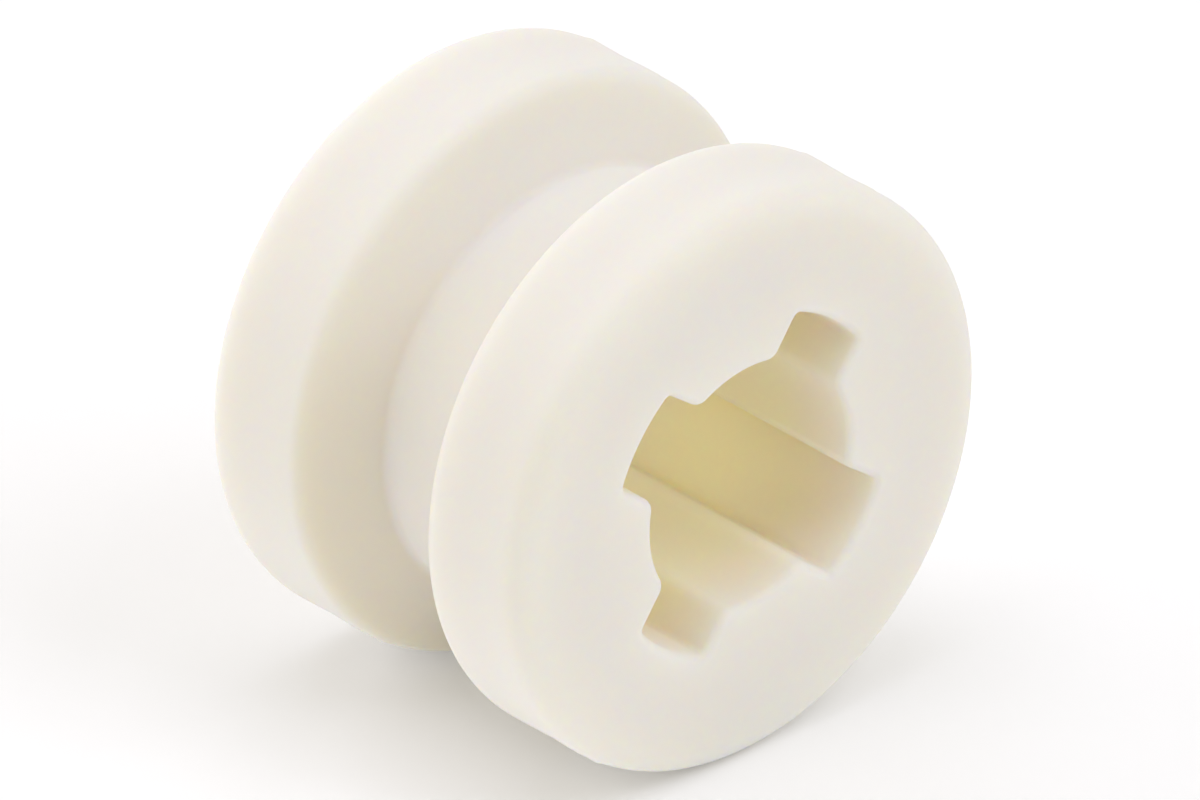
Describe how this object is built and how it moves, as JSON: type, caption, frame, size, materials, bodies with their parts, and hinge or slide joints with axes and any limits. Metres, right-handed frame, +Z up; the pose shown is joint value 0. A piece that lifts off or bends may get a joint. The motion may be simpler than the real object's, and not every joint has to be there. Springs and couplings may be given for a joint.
{
  "type": "spool-shaped wall anchor",
  "caption": "Moulded plastic spool with equal round flanges, a waisted groove between them, and a round through bore with cross slots that takes a shank.",
  "frame": {"origin": "on the spool's axis, halfway along it, in the middle of the groove", "axes": "+Z up, +Y along the spool's axis from the front flange to the rear flange, so the front face looks along -Y"},
  "size_m": [0.02, 0.0148, 0.02],
  "materials": {
    "moulded_plastic": "satin, slightly translucent off-white, as moulded"
  },
  "bodies": {
    "root": {"anchor_spool": "moulded_plastic"}
  },
  "joints": []
}
